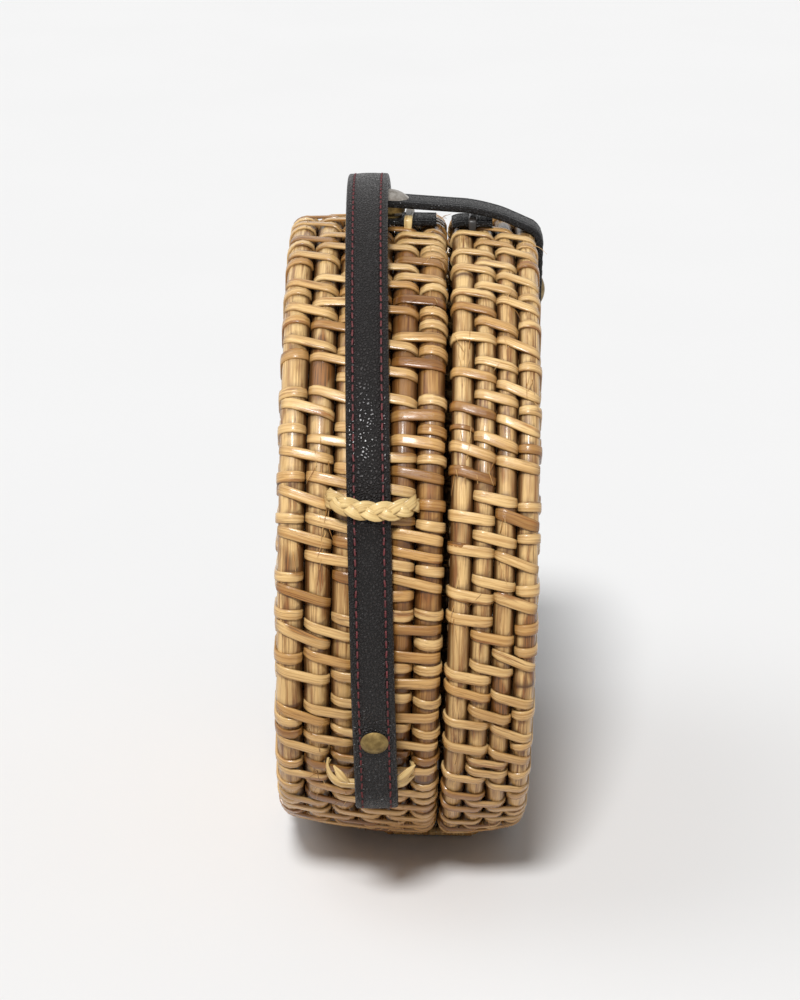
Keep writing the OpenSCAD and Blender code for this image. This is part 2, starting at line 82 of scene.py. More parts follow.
LID_TIE_X = ((LID_X[0] + LID_X[1]) / 2,)
BEND = (LID_X[0] + 1.1, 105.5)
coil_low, coil_high = (np.array(c) * 1000 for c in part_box("body_coil"))
HUB = np.array([coil_low[0] + BODY_CANE_D / 2 - BODY_X[0], 0.0, (coil_low[2] + coil_high[2]) / 2])

# The look of the basket: wall canes a little thinner than their solids, so that the lines between them show,
# and turns that draw in towards the outer edges, most of all near the bottom
STRIP_T, STRIP_W = 0.75, 3.25
BODY_RODS = [3.9, 3.85, 3.85, 3.85, 3.85, 4.0]
LID_RODS = [3.3, 3.1, 3.05, 3.1]
BODY_SHADES = [0.85, 0.75, 0.55, 0.35, 0.05, 0.2]
LID_SHADES = [1.0, 1.0, 0.6, 0.95]
BODY_FACE_ROD, LID_FACE_ROD = BODY_CANE_D / 2 - 0.1, LID_CANE_D / 2 - 0.1
EDGE_DRAW, BOTTOM_DRAW, BOTTOM_EDGE_DRAW, LID_DRAW = 1.2, 1.2, 3.6, 0.6
BOTTOM_AT, BOTTOM_SPREAD = 168.0, 42.0
SPIRAL_START = 140.0
# Waviness of a turn, then the swelling at a node of the cane, its spread and the spread of its scar
WAVE, KNOT_SWELL, KNOT_SPREAD, SCAR_SPREAD = 0.16, 0.25, 3.2, 1.1
# Painted shadow on the canes under and beside the strips, and how far it reaches
STRIP_SHADOW_STRENGTH, STRIP_SHADOW_REACH = 0.75, 1.5
# Points along a turn and round its section, on the walls and on the faces
WALL_STEPS, WALL_SIDES = 480, 16
FACE_STEPS, FACE_SIDES = 84, 10
# Lines of stitching, from the middle of the leather
STRAP_GROOVE, TAB_GROOVE = 4.2, 4.3

# Route of the sling strap's centre line, as in part.scad: on the rim [angle, height over the binding],
# then behind the bag [distance behind the hub, height over the hub]
STRAP_LEFT = [
    (102.5, 3.2), (104.5, 3.2), (107, 3.2), (110, 3.1), (113, 2.9), (116, 2.6), (118.5, 2.5),
    (121, 3.2), (122.4, 5.7), (121, 8.3), (118.3, 9.1), (115.5, 7.6), (112.5, 6.6), (110, 6.3),
    (107, 6.2), (104, 6.1), (101, 5.9), (97.5, 5), (93, 3.4), (88, 2.2), (80, 1.9), (72, 1.9),
    (64, 1.9), (56, 1.9), (48, 2), (40, 2.7), (32, 4), (24, 6), (16, 8.6), (8, 10.9), (0, 11.8),
    (-8, 11.6), (-16, 11),
]
STRAP_FREE = [
    (50, 100.5), (68, 93), (86, 85.5), (104, 76), (122, 62), (138, 42), (150, 17), (158, -12),
    (162, -40), (163, -66), (159, -86), (148, -97), (134, -99), (122, -93), (116, -80),
    (113, -60), (111, -36), (110, -10), (109.5, 16), (108, 40), (106, 57), (100, 71), (91, 79),
    (81.5, 80.5), (75, 75.5), (78.5, 66.5),
]
STRAP_RIGHT_FROM = 23

X_DIR = np.array([1.0, 0.0, 0.0])
Y_DIR = np.array([0.0, 1.0, 0.0])


def out_dir(a):
    a = radians(a)
    return np.array([0.0, -sin(a), cos(a)])


def tangent(a):
    a = radians(a)
    return np.array([0.0, -cos(a), -sin(a)])


def rim_point(x, r, a):
    return HUB + x * X_DIR + r * out_dir(a)


def turned(a):
    """The same angle, from -180 to 180."""
    return (a + 180) % 360 - 180


def coil_point(x, r, a):
    """A place on the basket's turns, which draw in towards the outer edges."""
    body = (BODY_X[-1] - x) / (BODY_X[-1] - BODY_X[0])
    lid = (x - LID_X[0]) / (LID_X[-1] - LID_X[0])
    edge = max(0.0, body) ** 2 + LID_DRAW * max(0.0, lid) ** 2
    low = exp(-((abs(turned(a)) - BOTTOM_AT) / BOTTOM_SPREAD) ** 2)
    draw = EDGE_DRAW * edge + low * (BOTTOM_DRAW + BOTTOM_EDGE_DRAW * edge)
    return rim_point(x, r * (1 - draw / RIM), a)


def rim_deg(mm):
    """The angle of a length along the rim."""
    return degrees(mm / RIM)


def unit(v):
    return v / max(1e-9, float(np.linalg.norm(v)))


def smoothed(points, n):
    """A smooth curve through the points, n steps for each span."""
    p = [np.array(q, float) for q in points]
    last = len(p) - 1
    out = []
    for i in range(last):
        a, b, c, d = p[max(0, i - 1)], p[i], p[i + 1], p[min(last, i + 2)]
        for k in range(n):
            t = k / n
            out.append(0.5 * (2 * b + (c - a) * t + (2 * a - 5 * b + 4 * c - d) * t * t
                              + (3 * b - a - 3 * c + d) * t ** 3))
    out.append(p[-1])
    return np.array(out)


def headings(p):
    d = np.empty_like(p)
    d[1:-1] = p[2:] - p[:-2]
    d[0] = p[1] - p[0]
    d[-1] = p[-1] - p[-2]
    return d / np.maximum(1e-9, np.linalg.norm(d, axis=1))[:, None]


def run_length(p):
    return np.concatenate([[0], np.cumsum(np.linalg.norm(np.diff(p, axis=0), axis=1))])


def along(p, s, d):
    """The value of p at the distance d, where s is the distance of each of its points."""
    return np.array([np.interp(d, s, p[:, c]) for c in range(3)])


# Mesh making

def place(name, data):
    """A new object in the scene."""
    obj = bpy.data.objects.new(name, data)
    bpy.context.scene.collection.objects.link(obj)
    return obj


# Section of a strip, as shares of its half width and its thickness, and painted shade on its edges
STRIP_SECTION = [(-1.0, 0.0), (-1.0, 0.62), (-0.84, 0.92), (-0.4, 1.0),
                 (0.4, 1.0), (0.84, 0.92), (1.0, 0.62), (1.0, 0.0)]
EDGE_SHADE = (1.0, 0.6, 0.18)
# Section of a thread, as shares of half its width
THREAD_SECTION = [(-1, -0.3), (-0.6, 0.7), (0.6, 0.7), (1, -0.3)]


class Builder:
    """Collects faces with two UV sets: grain (millimetres along and across) and tone (shade, then painted
    shade and scars).
    """

    def __init__(self):
        self.verts, self.faces, self.grain, self.tone = [], [], [], []

    def grid(self, rows, uvs, shade, painted_shade_and_scars=None, wrap_rows=False, caps=True):
        """Joins n closed rings of m points; uvs has one more column, and one more row if wrapped."""
        n, m = len(rows), len(rows[0])
        base = len(self.verts)
        if painted_shade_and_scars is None:
            painted_shade_and_scars = np.zeros((n, m))
        for r in rows:
            self.verts.extend(tuple(v * 0.001) for v in r)
        for i in range(n if wrap_rows else n - 1):
            i2 = (i + 1) % n
            for j in range(m):
                j2 = (j + 1) % m
                self.faces.append((base + i * m + j, base + i * m + j2,
                                   base + i2 * m + j2, base + i2 * m + j))
                self.grain.append((uvs[i][j], uvs[i][j + 1], uvs[i + 1][j + 1], uvs[i + 1][j]))
                self.tone.append(tuple((shade, painted_shade_and_scars[k]) for k in ((i, j), (i, j2), (i2, j2), (i2, j))))
        if caps and not wrap_rows:
            for i, order in ((0, range(m - 1, -1, -1)), (n - 1, range(m))):
                self.faces.append(tuple(base + i * m + j for j in order))
                self.grain.append(tuple(uvs[i][j] for j in order))
                self.tone.append(tuple((shade, painted_shade_and_scars[i, j]) for j in order))

    def tube(self, centres, ea, eb, radii, sides, closed=False, shade=0.5, scars=None, valley_shade=0.0, strip_shadow=0.0):
        """A round rod along the centres, with cross directions ea and eb; the valley share is painted shade
        on its two sides, towards the canes beside it, and the strip shadow for each of its points is painted
        shadow under and beside strips. ea, eb and radii are for each centre, or for all."""
        n = len(centres)
        ea = np.broadcast_to(ea, (n, 3))
        eb = np.broadcast_to(eb, (n, 3))
        radii = np.broadcast_to(radii, n)
        phi = np.linspace(0, 2 * pi, sides, endpoint=False)
        rows = [centres[i] + radii[i] * (np.cos(phi)[:, None] * ea[i] + np.sin(phi)[:, None] * eb[i])
                for i in range(n)]
        s = run_length(np.array(list(centres) + ([centres[0]] if closed else [])))
        off = rng.uniform(0, 900)
        girth = 2 * pi * float(np.mean(radii))
        uvs = [[(off + s[i], girth * j / sides) for j in range(sides + 1)] for i in range(len(s))]
        # Painted shade on the sides of the rod that face the canes beside it
        side_shade = np.tile(np.clip((np.abs(np.cos(phi)) - 0.3) / 0.62, 0, 1), (n, 1))
        painted_shade_and_scars = np.maximum(side_shade * valley_shade, strip_shadow)
        if scars is not None:
            painted_shade_and_scars = np.maximum(painted_shade_and_scars, np.array(scars)[:, None])
        self.grid(rows, uvs, shade, painted_shade_and_scars, wrap_rows=closed)

    def band(self, path, out, half_w, thick, shade=0.5, ends=0.75, end_and_edge_shade=0.0):
        """A flat strip along the path, its underside on the path, standing out along out."""
        n = len(path)
        head = headings(path)
        s = run_length(path)
        off = rng.uniform(0, 900)
        rows, uvs = [], []
        painted_shade_and_scars = np.zeros((n, len(STRIP_SECTION)))
        for i in range(n):
            o = unit(out[i] - head[i] * float(np.dot(out[i], head[i])))
            side = np.cross(o, head[i])
            edge = min(s[i], s[-1] - s[i])
            w = half_w * (ends + (1 - ends) * min(1.0, edge / 3.0))
            rows.append(np.array([path[i] + side * (u * w) + o * (v * thick) for u, v in STRIP_SECTION]))
            uvs.append([(off + s[i], u * half_w) for u, v in STRIP_SECTION] + [(off + s[i], -half_w * 3)])
            # Painted shade on the strip's ends, where they tuck in, and on its edges down to the cane
            painted_shade_and_scars[i, :] = end_and_edge_shade * max(0.0, 1 - edge / 3.4)
            for j, share in enumerate(EDGE_SHADE):
                both = (j, len(STRIP_SECTION) - 1 - j)
                painted_shade_and_scars[i, both] = np.maximum(painted_shade_and_scars[i, both], end_and_edge_shade * share)
        self.grid(rows, uvs, shade, painted_shade_and_scars)

    def thread(self, path, out, width):
        """One short run of sewing thread."""
        head = headings(path)
        rows = []
        for i in range(len(path)):
            side = unit(np.cross(out[i], head[i]))
            rows.append(np.array([path[i] + side * (u * width / 2) + out[i] * (v * width / 2)
                                  for u, v in THREAD_SECTION]))
        s = run_length(path)
        uvs = [[(s[i] + 7 * path[0][2], v) for v in (0, 0.2, 0.5, 0.7, 1.0)] for i in range(len(path))]
        self.grid(rows, uvs, 0.5, caps=False)

    def make(self, name, material, slot, smooth_angle=50):
        mesh = bpy.data.meshes.new(name)
        mesh.from_pydata(self.verts, [], self.faces)
        for layer, data in (("grain", self.grain), ("tone", self.tone)):
            uv = mesh.uv_layers.new(name=layer)
            uv.data.foreach_set("uv", np.array([c for face in data for c in face], dtype=np.float32).ravel())
        mesh.validate()
        mesh.update()
        mesh.shade_smooth()
        mesh.set_sharp_from_angle(angle=radians(smooth_angle))
        obj = place(name, mesh)
        mesh.materials.append(material)
        return obj


# Materials

def grey(v):
    return (v, v, v)


def times(colour, k):
    return tuple(c * k for c in colour)


def new_material(name, roughness, **sockets):
    mat = bpy.data.materials.new(name)
    mat.use_nodes = True
    bsdf = mat.node_tree.nodes["Principled BSDF"]
    bsdf.inputs["Roughness"].default_value = roughness
    for key, value in sockets.items():
        bsdf.inputs[key.replace("_", " ")].default_value = value
    return mat, mat.node_tree, bsdf


def grain_uv(tree, scale):
    uv = tree.nodes.new("ShaderNodeUVMap")
    uv.uv_map = "grain"
    mapping = tree.nodes.new("ShaderNodeMapping")
    mapping.inputs["Scale"].default_value = scale
    tree.links.new(uv.outputs["UV"], mapping.inputs["Vector"])
    return mapping.outputs["Vector"]


def noise(tree, vector, scale, detail=3.0, rough=0.55):
    n = tree.nodes.new("ShaderNodeTexNoise")
    n.inputs["Scale"].default_value = scale
    n.inputs["Detail"].default_value = detail
    n.inputs["Roughness"].default_value = rough
    tree.links.new(vector, n.inputs["Vector"])
    return n.outputs["Fac"]


def grain_noise(tree, lengthwise, crosswise, detail, rough=0.55):
    """Noise in the grain's own directions."""
    return noise(tree, grain_uv(tree, (lengthwise, crosswise, 1)), 1.0, detail, rough)


def ramp(tree, fac, stops):
    r = tree.nodes.new("ShaderNodeValToRGB")
    while len(r.color_ramp.elements) < len(stops):
        r.color_ramp.elements.new(0.5)
    for e, (pos, col) in zip(r.color_ramp.elements, stops):
        e.position = pos
        e.color = (*col, 1.0)
    tree.links.new(fac, r.inputs["Fac"])
    return r.outputs["Color"]


def mix(tree, fac, a, b, blend="MIX"):
    m = tree.nodes.new("ShaderNodeMix")
    m.data_type = "RGBA"
    m.blend_type = blend
    for socket, value in ((0, fac), (6, a), (7, b)):
        if isinstance(value, bpy.types.NodeSocket):
            tree.links.new(value, m.inputs[socket])
        else:
            m.inputs[socket].default_value = value if socket == 0 else (*value, 1.0)
    return m.outputs[2]


def bump(tree, bsdf, height, strength, distance):
    b = tree.nodes.new("ShaderNodeBump")
    b.inputs["Strength"].default_value = strength
    b.inputs["Distance"].default_value = distance
    tree.links.new(height, b.inputs["Height"])
    tree.links.new(b.outputs["Normal"], bsdf.inputs["Normal"])


def cane_material(name, light, mid, dark, stain, roughness, stain_from, bare_from, lines):
    """Rattan: long fibres and dark lines, brown stains, stretches where the skin is gone, a shade for
    each piece, and painted shade in the valleys, under and beside strips and at strip ends and edges, with
    darker node scars."""
    mat, tree, bsdf = new_material(name, roughness, Coat_Weight=0.28, Coat_Roughness=0.14,
                                   Specular_IOR_Level=0.35)
    fine = grain_noise(tree, 0.06, 2.2, 4, 0.65)
    coarse = grain_noise(tree, 0.035, 0.6, 3, 0.6)
    line = grain_noise(tree, 0.025, 1.5, 3, 0.7)
    base = ramp(tree, fine, [(0.38, mid), (0.52, light), (0.66, mid)])
    streak = ramp(tree, coarse, [(0.39, dark), (0.53, light)])
    colour = mix(tree, 0.5, base, streak)
    dark_line = ramp(tree, line, [(0.57, grey(0)), (0.63, grey(lines))])
    colour = mix(tree, dark_line, colour, dark)
    tone_uv = tree.nodes.new("ShaderNodeUVMap")
    tone_uv.uv_map = "tone"
    tone = tree.nodes.new("ShaderNodeSeparateXYZ")
    tree.links.new(tone_uv.outputs["UV"], tone.inputs["Vector"])
    shade = ramp(tree, tone.outputs["X"], [(0.0, (0.33, 0.21, 0.11)), (0.3, (0.74, 0.61, 0.45)),
                                           (0.7, grey(1.0))])
    colour = mix(tree, 1.0, colour, shade, "MULTIPLY")
    patches = grain_noise(tree, 0.035, 0.33, 5, 0.66)
    patch = ramp(tree, patches, [(stain_from - 0.03, grey(0)), (stain_from + 0.09, grey(0.9))])
    stained = ramp(tree, fine, [(0.4, times(stain, 0.6)), (0.6, times(stain, 1.9))])
    colour = mix(tree, patch, colour, stained)
    fibre = grain_noise(tree, 0.07, 3.4, 3, 0.6)
    fibres = ramp(tree, fibre, [(0.4, times(dark, 0.3)), (0.6, times(dark, 1.5))])
    bare = grain_noise(tree, 0.028, 0.09, 2, 0.5)
    bare = ramp(tree, bare, [(bare_from, grey(0)), (bare_from + 0.05, grey(0.92))])
    colour = mix(tree, bare, colour, fibres)
    # Painted shade and node scars, from the tone's second share, darken the colour
    painted_shade_and_scars = ramp(tree, tone.outputs["Y"], [(0.0, grey(0)), (0.5, grey(0.32)), (0.85, grey(0.95))])
    colour = mix(tree, painted_shade_and_scars, colour, times(dark, 0.35))
    tree.links.new(colour, bsdf.inputs["Base Color"])
    bump(tree, bsdf, fine, 0.4, 0.0004)
    return mat


CANE = cane_material(
    "cane_rod", light=(0.86, 0.6, 0.275), mid=(0.6, 0.345, 0.11), dark=(0.25, 0.095, 0.022),
    stain=(0.17, 0.06, 0.013), roughness=0.34, stain_from=0.545, bare_from=0.575, lines=0.85)
STRIP = cane_material(
    "cane_strip", light=(0.87, 0.605, 0.275), mid=(0.66, 0.39, 0.135), dark=(0.36, 0.165, 0.042),
    stain=(0.22, 0.086, 0.02), roughness=0.25, stain_from=0.565, bare_from=0.63, lines=0.6)
PALE = cane_material(
    "pale_cane", light=(0.84, 0.63, 0.29), mid=(0.66, 0.44, 0.165), dark=(0.36, 0.19, 0.055),
    stain=(0.42, 0.25, 0.09), roughness=0.42, stain_from=0.74, bare_from=0.9, lines=0.4)
BLACK_CANE = cane_material(
    "black_cane", light=(0.03, 0.024, 0.02), mid=(0.02, 0.016, 0.013), dark=(0.012, 0.01, 0.009),
    stain=(0.01, 0.008, 0.007), roughness=0.35, stain_from=0.7, bare_from=0.9, lines=0.4)


def leather_material(name, base, worn, roughness, scale):
    """Pebbled leather: raised cells, darker between them, with worn lighter areas."""
    mat, tree, bsdf = new_material(name, roughness, Specular_IOR_Level=0.4)
    vector = grain_uv(tree, (1, 1, 1))
    warp = noise(tree, vector, 0.9, 2)
    bent = tree.nodes.new("ShaderNodeVectorMath")
    tree.links.new(vector, bent.inputs[0])
    tree.links.new(warp, bent.inputs[1])
    cells = tree.nodes.new("ShaderNodeTexVoronoi")
    cells.feature = "DISTANCE_TO_EDGE"
    cells.inputs["Scale"].default_value = scale
    tree.links.new(bent.outputs[0], cells.inputs["Vector"])
    cell = ramp(tree, cells.outputs["Distance"], [(0.0, grey(0)), (0.3, grey(1))])
    wear = noise(tree, vector, 0.05, 3)
    colour = ramp(tree, wear, [(0.35, base), (0.75, worn)])
    colour = mix(tree, cell, times(base, 0.5), colour)
    tree.links.new(colour, bsdf.inputs["Base Color"])
    tree.links.new(ramp(tree, cell, [(0.0, grey(min(1, roughness + 0.25))), (1.0, grey(roughness))]),
                   bsdf.inputs["Roughness"])
    bump(tree, bsdf, cell, 1.0, 0.0007)
    return mat


STRAP_LEATHER = leather_material("strap_leather", base=(0.012, 0.0085, 0.008), worn=(0.019, 0.0135, 0.0125),
                                 roughness=0.27, scale=1.0)
TAB_LEATHER = leather_material("tab_leather", base=(0.011, 0.01, 0.0105), worn=(0.022, 0.021, 0.022),
                               roughness=0.33, scale=1.2)


def thread_material(name, colour, dark):
    mat, tree, bsdf = new_material(name, 0.7)
    twist = grain_noise(tree, 3, 1.2, 2)
    tree.links.new(ramp(tree, twist, [(0.35, dark), (0.65, colour)]), bsdf.inputs["Base Color"])
    return mat


RED_THREAD = thread_material("red_thread", (0.15, 0.022, 0.026), (0.06, 0.011, 0.013))
BLACK_THREAD = thread_material("black_thread", (0.008, 0.008, 0.009), (0.004, 0.004, 0.005))


def metal_material(name, bright, dull, roughness):
    """Aged metal: darker tarnish in patches, with fine scratches."""
    mat, tree, bsdf = new_material(name, roughness, Metallic=1.0)
    where = tree.nodes.new("ShaderNodeTexCoord").outputs["Object"]
    patches = noise(tree, where, 420, 4, 0.65)
    tree.links.new(ramp(tree, patches, [(0.38, dull), (0.66, bright)]), bsdf.inputs["Base Color"])
    tree.links.new(ramp(tree, patches, [(0.3, grey(roughness + 0.2)), (0.7, grey(roughness))]),
                   bsdf.inputs["Roughness"])
    bump(tree, bsdf, noise(tree, where, 2600, 3), 0.12, 0.0001)
    return mat


BRASS = metal_material("aged_brass", bright=(0.3, 0.21, 0.08), dull=(0.175, 0.118, 0.045), roughness=0.4)
NICKEL = metal_material("worn_nickel", bright=(0.45, 0.42, 0.38), dull=(0.2, 0.175, 0.15), roughness=0.32)

# Camera: the photograph looks along the floor at a bag rolled 19 degrees; here the bag stands upright

ELEV, ROLL = radians(19), radians(1.1)
DISTANCE, RISE, SIDEWAYS = 900.0, 7.8, -2.52
LENS, SENSOR = 100.2, 36
up = Vector((0, sin(ELEV), cos(ELEV)))
look = Vector((0, cos(ELEV), -sin(ELEV)))
eye = Vector((HUB[0] + SIDEWAYS, 0, HUB[2])) - look * DISTANCE + up * RISE
camera_data = bpy.data.cameras.new("camera")
camera_data.sensor_width = SENSOR
camera_data.lens = LENS
camera = place("camera", camera_data)
turn = Matrix((look.cross(up), up, -look)).transposed().to_4x4()
camera.matrix_world = Matrix.Translation(eye * 0.001) @ turn @ Matrix.Rotation(ROLL, 4, "Z")
bpy.context.scene.camera = camera

# Sling strap


def leather_profile(half_w, half_t, groove):
    """The upper half of a strap's section, as (across, height), with two stitch grooves."""
    edge = [(-1.0, 0.35), (-0.975, 0.72), (-0.93, 0.93)]
    left = [(u * half_w, v * half_t) for u, v in edge]
    left += [(-groove - 0.55, half_t), (-groove - 0.3, half_t - 0.1), (-groove + 0.3, half_t - 0.1),
             (-groove + 0.55, half_t), (-half_w * 0.3, half_t + 0.12)]
    return left + [(0, half_t + 0.16)] + [(-u, v) for u, v in reversed(left)]


def leather_strip(builder, path, side, half_w, half_t, groove, width_at=None):
    """A flat leather strap along path, with its width along side."""
    top = leather_profile(half_w, half_t, groove)
    ring = top + [(-u, -v) for u, v in top]
    around = [0.0]
    for (u0, v0), (u1, v1) in zip(ring, ring[1:] + ring[:1]):
        around.append(around[-1] + hypot(u1 - u0, v1 - v0))
    head = headings(path)
    s = run_length(path)
    off = rng.uniform(0, 200)
    rows, uvs = [], []
    for i in range(len(path)):
        k = 1.0 if width_at is None else width_at(s[i])
        out = unit(np.cross(side, head[i]))
        rows.append(np.array([path[i] + side * (u * k) + out * v for u, v in ring]))
        uvs.append([(off + s[i], a) for a in around])
    builder.grid(rows, uvs, 0.5)


def stitches(builder, path, side, offset, half_t, pitch, length, width, start=4.0, stop=4.0):
    """Two rows of thread on both faces of a strap, at the offset from its middle."""
    s = run_length(path)
    head = headings(path)
    for face in (1, -1):
        for off in (-offset, offset):
            for k in range(int((s[-1] - start - stop) / pitch)):
                at = start + (k + 0.5) * pitch
                pts, outs = [], []
                skew = rng.uniform(-0.12, 0.12)
                for f, lift in ((-0.5, -0.16), (-0.3, 0.0), (0.3, 0.0), (0.5, -0.16)):
                    d = at + f * length
                    o = unit(np.cross(side, along(head, s, d))) * face
                    pts.append(along(path, s, d) + side * (off + skew * f * 2) + o * (half_t - 0.1 + lift))
                    outs.append(o)
                builder.thread(np.array(pts), np.array(outs), width)


def beside_rim(a, h):
    """A place over the rim, as (behind the hub, over the hub)."""
    a = radians(a)
    return (-(RIM + h) * sin(a), (RIM + h) * cos(a))


lean = radians(STRAP_LEAN)
strap_side = np.array([cos(lean), 0.0, sin(lean)])
strap_up = np.array([-sin(lean), 0.0, cos(lean)])
route = [beside_rim(a, h) for a, h in STRAP_LEFT]
route = route + STRAP_FREE + [(-y, z) for y, z in reversed(route[: STRAP_RIGHT_FROM + 1])]
strap_line = np.array([HUB + STRAP_X * X_DIR + y * Y_DIR + z * strap_up for y, z in smoothed(route, 4)])
b = Builder()
leather_strip(b, strap_line, strap_side, STRAP_W / 2, STRAP_T / 2, STRAP_GROOVE)
strap = b.make("strap", STRAP_LEATHER, "strap_leather")
b = Builder()
stitches(b, strap_line, strap_side, STRAP_GROOVE, STRAP_T / 2, pitch=3.0, length=2.1, width=0.66)
strap_stitching = b.make("strap_stitching", RED_THREAD, "strap_leather")
for o in (strap, strap_stitching):
    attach(o, "body")
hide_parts("sling_strap")

# Layout of the binding


class Row:
    """A turn of binding strips over the canes at xs: their angles round the rim and their slants."""

    def __init__(self, xs, rods, count, slant, spread=3.5, jitter=0.14):
        self.xs = xs
        self.rods = rods
        self.mid = sum(xs) / len(xs)
        step = 360 / count
        first = rng.uniform(0, step)
        self.a = np.array([first + (k + rng.gauss(0, jitter)) * step for k in range(count)])
        self.slant = np.array([slant + rng.gauss(0, spread) for k in range(count)])

    def at(self, x):
        return self.a + np.degrees((x - self.mid) * np.tan(np.radians(self.slant)) / RIM)


def push_apart(rows, least):
    """Moves strips that would meet on a cane which two rows share."""
    for _ in range(60):
        for r0, r1 in zip(rows, rows[1:]):
            where = np.concatenate([r0.at(r1.xs[0]), r1.at(r1.xs[0])])
            order = np.argsort(where % 360)
            after = np.roll(order, -1)
            short = np.maximum(0, least - (where[after] - where[order]) % 360) / 2
            move = np.zeros(len(where))
            move[order] -= short
            move[after] += short
            r0.a += move[: len(r0.a)]
            r1.a += move[len(r0.a):]


# Strips round each row and their slants, judged from the part of the rim that the photograph shows
BODY_ROWS = [(44, 17), (47, 12), (52, 10), (56, 6), (57, 5)]
LID_ROWS = [(57, 12), (46, 14), (46, 21)]
EDGE_COUNT, MOUTH_COUNT, LEAST_STEP = 46, 58, 2.6
# Painted shadow of the strap: how much darker the strips of each of the body's rows are
STRAP_SHADOW_DIMS = [0.0, 0.0, 0.05, 0.2, 0.25]

body_rows = [Row(BODY_X[:1], BODY_RODS[:1], EDGE_COUNT, 0)]
body_rows += [Row(BODY_X[i:i + 2], BODY_RODS[i:i + 2], n, slant) for i, (n, slant) in enumerate(BODY_ROWS)]
body_rows += [Row(BODY_X[-1:], BODY_RODS[-1:], MOUTH_COUNT, 7)]
lid_rows = [Row(LID_X[i:i + 2], LID_RODS[i:i + 2], n, slant) for i, (n, slant) in enumerate(LID_ROWS)]
lid_rows += [Row(LID_X[-1:], LID_RODS[-1:], EDGE_COUNT, 0)]
push_apart(body_rows, LEAST_STEP)
push_apart(lid_rows, LEAST_STEP)

# Canes


def rough_ring(x, rod, n, seed):
    """Centres, radii and node scars of one turn of cane."""
    turn = RIM - STRIP_T - rod
    r = random.Random(seed)
    waves = [(k, r.uniform(-1, 1) * WAVE / k ** 0.7, r.uniform(0, 6.3), r.uniform(-1, 1) * WAVE / k ** 0.7)
             for k in (2, 3, 5, 8)]
    knots = []
    at = r.uniform(0, 110)
    while at < 360:
        knots.append(at)
        at += r.uniform(70, 150)
    angles = np.linspace(0, 360, n, endpoint=False)
    centres, radii, scars = [], [], []
    for a in angles:
        rad = radians(a)
        dr = sum(w * sin(k * rad + ph) for k, w, ph, v in waves)
        dx = sum(v * cos(k * rad + ph) for k, w, ph, v in waves)
        near = min(abs(turned(a - q)) for q in knots) * turn * pi / 180
        centres.append(coil_point(x + dx, turn + dr, a))
        swell = KNOT_SWELL * exp(-((near / KNOT_SPREAD) ** 2))
        radii.append(rod + swell + 0.05 * sin(7 * rad + waves[0][2]))
        scars.append(exp(-((near / SCAR_SPREAD) ** 2)))
    return angles, np.array(centres), radii, scars


def shadow_by_strips(x, rod, angles, sides, rows):
    """Painted shadow on a wall cane, under and close beside the strips that cross it."""
    strip_shadow = np.zeros((len(angles), sides))
    for row in rows:
        if x not in row.xs:
            continue
        for j in range(sides):
            strips = row.at(x + rod * cos(2 * pi * j / sides))
            away = np.abs(turned(angles[:, None] - strips[None, :])).min(axis=1)
            past = np.radians(away) * RIM - STRIP_W / 2
            strip_shadow[:, j] = np.maximum(strip_shadow[:, j], STRIP_SHADOW_STRENGTH * np.clip(1 - past / STRIP_SHADOW_REACH, 0, 1))
    return strip_shadow


def wall_rods(builder, xs, rods, shades, rows, rim, seed):
    """The turns of a shell's wall; the one at its rim has no neighbour on its outer side, so gets no painted
    shade or painted shadow there.
    """
    across = np.cos(2 * pi * np.arange(WALL_SIDES) / WALL_SIDES)
    for i, (x, rod, shade) in enumerate(zip(xs, rods, shades)):
        angles, c, radii, scars = rough_ring(x, rod, WALL_STEPS, seed + i)
        has_neighbour = np.where(across * np.sign(x) > 0.5, 0.0, 1.0) if x == rim else np.ones(WALL_SIDES)
        # Painted shadow from the strips that cross this cane
        strip_shadow = has_neighbour * shadow_by_strips(x, rod, angles, WALL_SIDES, rows)
        builder.tube(c, X_DIR, [out_dir(a) for a in angles], radii, WALL_SIDES, closed=True,
                     shade=shade, scars=scars, valley_shade=has_neighbour, strip_shadow=strip_shadow)


def spiral_part(a, side):
    """How much of a turn a face's spiral has run at an angle, from 0 to 1; side is 1 at the lid."""
    return ((SPIRAL_START - a) * side % 360) / 360


def face_rods(builder, x, turn, rod, pitch, side, seed):
    """The spiral of cane that fills a face, from the rim's last turn to its middle."""
    turns = (turn - rod * 0.4) / pitch
    steps = int(turns * FACE_STEPS)
    r = random.Random(seed)
    a = [SPIRAL_START - side * 360 * turns * i / steps for i in range(steps + 1)]
    pts = []
    for i, q in enumerate(a):
        waver = 0.1 * sin(3 * radians(q) + seed)
        pts.append(coil_point(x + waver, turn - pitch * turns * i / steps, q))
    pts = np.array(pts)
    s = run_length(pts)
    knots = [60.0]
    while knots[-1] < s[-1]:
        knots.append(knots[-1] + r.uniform(140, 260))
    near = np.array([min(abs(d - k) for k in knots) for d in s])
    # the first turn has no neighbour outside it, so gets no painted shade on that side
    first = np.arange(steps + 1)[:, None] * turns / steps < 1
    outer = np.cos(2 * pi * np.arange(FACE_SIDES) / FACE_SIDES)[None, :] > 0.3
    radii = rod + KNOT_SWELL * np.exp(-((near / KNOT_SPREAD) ** 2))
    builder.tube(pts, [out_dir(q) for q in a], -X_DIR, radii, FACE_SIDES, shade=0.65,
                 scars=np.exp(-((near / SCAR_SPREAD) ** 2)), valley_shade=np.where(first & outer, 0.0, 0.9))


